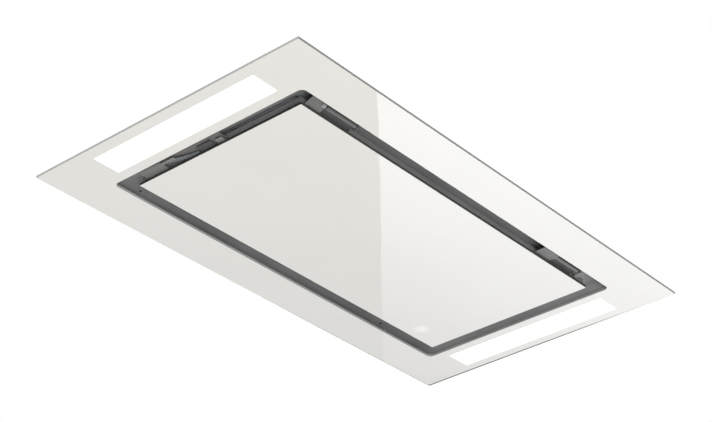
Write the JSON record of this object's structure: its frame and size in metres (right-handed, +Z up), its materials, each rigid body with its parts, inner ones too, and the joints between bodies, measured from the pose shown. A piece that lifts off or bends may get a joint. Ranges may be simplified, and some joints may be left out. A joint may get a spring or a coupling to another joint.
{
  "type": "ceiling range hood",
  "caption": "Flush ceiling hood: white glass frame with light windows at both ends, a hinged glass hatch in a dark intake slot, grease filters, a fan box and a round duct outlet.",
  "frame": {"origin": "centre of the glass underside, which lies flush below the ceiling", "axes": "+X along the hood, +Y across it away from the hatch's hinges, +Z up into the ceiling"},
  "size_m": [0.9, 0.5, 0.299],
  "materials": {
    "white_glass": "white back-painted float glass, polished edges",
    "opal": "opal diffuser, lit",
    "white_steel": "white powder coat",
    "galvanised": "galvanised steel sheet, spangled",
    "dark_lacquer": "dark grey lacquer, semi-matt",
    "zinc_screws": "bright zinc plate",
    "magnet": "black moulding with steel poles",
    "filter_aluminium": "mill aluminium, expanded mesh",
    "latch_plastic": "dark moulding",
    "light_boards": "white solder mask on aluminium",
    "fan_steel": "galvanised steel sheet",
    "impeller_plastic": "glass-filled moulding",
    "shaft_steel": "ground steel",
    "motor": "cast and painted end caps",
    "bracket_steel": "zinc plated pressing",
    "duct_plastic": "black moulding",
    "flap_aluminium": "thin sheet",
    "box_plastic": "grey moulding",
    "terminal_plastic": "pale moulding",
    "driver_case": "white moulding"
  },
  "bodies": {
    "hood": {"glass_frame": "white_glass", "light_diffuser_left": "opal", "light_diffuser_right": "opal", "frame_carrier": "white_steel", "housing_shell": "galvanised", "housing_roof": "galvanised", "outlet_plate": "galvanised", "cable_plate": "galvanised", "light_tray_left": "galvanised", "light_tray_right": "galvanised", "suspension_lug_front_left": "galvanised", "suspension_lug_front_right": "galvanised", "suspension_lug_back_left": "galvanised", "suspension_lug_back_right": "galvanised", "intake_liner": "dark_lacquer", "hinge_bracket_left": "dark_lacquer", "hinge_bracket_right": "dark_lacquer", "liner_screws": "zinc_screws", "hinge_pin_left": "zinc_screws", "hinge_pin_right": "zinc_screws", "flap_pin": "zinc_screws", "catch_magnet_left": "magnet", "catch_magnet_right": "magnet", "filter_frame_left": "filter_aluminium", "filter_frame_right": "filter_aluminium", "filter_mesh_left": "filter_aluminium", "filter_mesh_right": "filter_aluminium", "light_board_left": "light_boards", "light_board_right": "light_boards", "fan_scroll": "fan_steel", "fan_side_left": "fan_steel", "fan_side_right": "fan_steel", "inlet_ring_left": "fan_steel", "inlet_ring_right": "fan_steel", "outlet_adaptor": "fan_steel", "motor_body": "motor", "motor_bracket": "bracket_steel", "outlet_spigot": "duct_plastic", "control_box": "box_plastic", "control_cover": "box_plastic", "cable_gland": "box_plastic", "terminal_block": "terminal_plastic", "light_driver": "driver_case"},
    "hatch": {"hatch_glass": "white_glass", "hatch_tray": "dark_lacquer", "hinge_arm_left": "dark_lacquer", "hinge_arm_right": "dark_lacquer", "catch_strike_left": "zinc_screws", "catch_strike_right": "zinc_screws"},
    "rotor": {"impeller": "impeller_plastic", "motor_shaft": "shaft_steel"},
    "flap_a": {"flap_front": "flap_aluminium"},
    "flap_b": {"flap_back": "flap_aluminium"},
    "latch_a": {"filter_latch_left": "latch_plastic"},
    "latch_b": {"filter_latch_right": "latch_plastic"}
  },
  "joints": [
    {"name": "hatch_hinge", "type": "hinge", "parent": "hood", "child": "hatch", "pos_m": [0, -0.166, 0.011], "axis": [-1, 0, 0], "range_deg": [0, 90]},
    {"name": "rotor_spin", "type": "hinge", "parent": "hood", "child": "rotor", "pos_m": [0, -0.0878, 0.1546], "axis": [1, 0, 0], "continuous": true},
    {"name": "flap_a_swing", "type": "hinge", "parent": "hood", "child": "flap_a", "pos_m": [0, 0, 0.274], "axis": [-1, 0, 0], "range_deg": [0, 85]},
    {"name": "flap_b_swing", "type": "hinge", "parent": "hood", "child": "flap_b", "pos_m": [0, 0, 0.274], "axis": [1, 0, 0], "range_deg": [0, 85]},
    {"name": "latch_a_slide", "type": "slide", "parent": "hood", "child": "latch_a", "axis": [0, 1, 0], "range_m": [0, 0.005], "stiffness_N_per_m": 400, "springref_m": -0.005},
    {"name": "latch_b_slide", "type": "slide", "parent": "hood", "child": "latch_b", "axis": [0, 1, 0], "range_m": [0, 0.005], "stiffness_N_per_m": 400, "springref_m": -0.005}
  ]
}
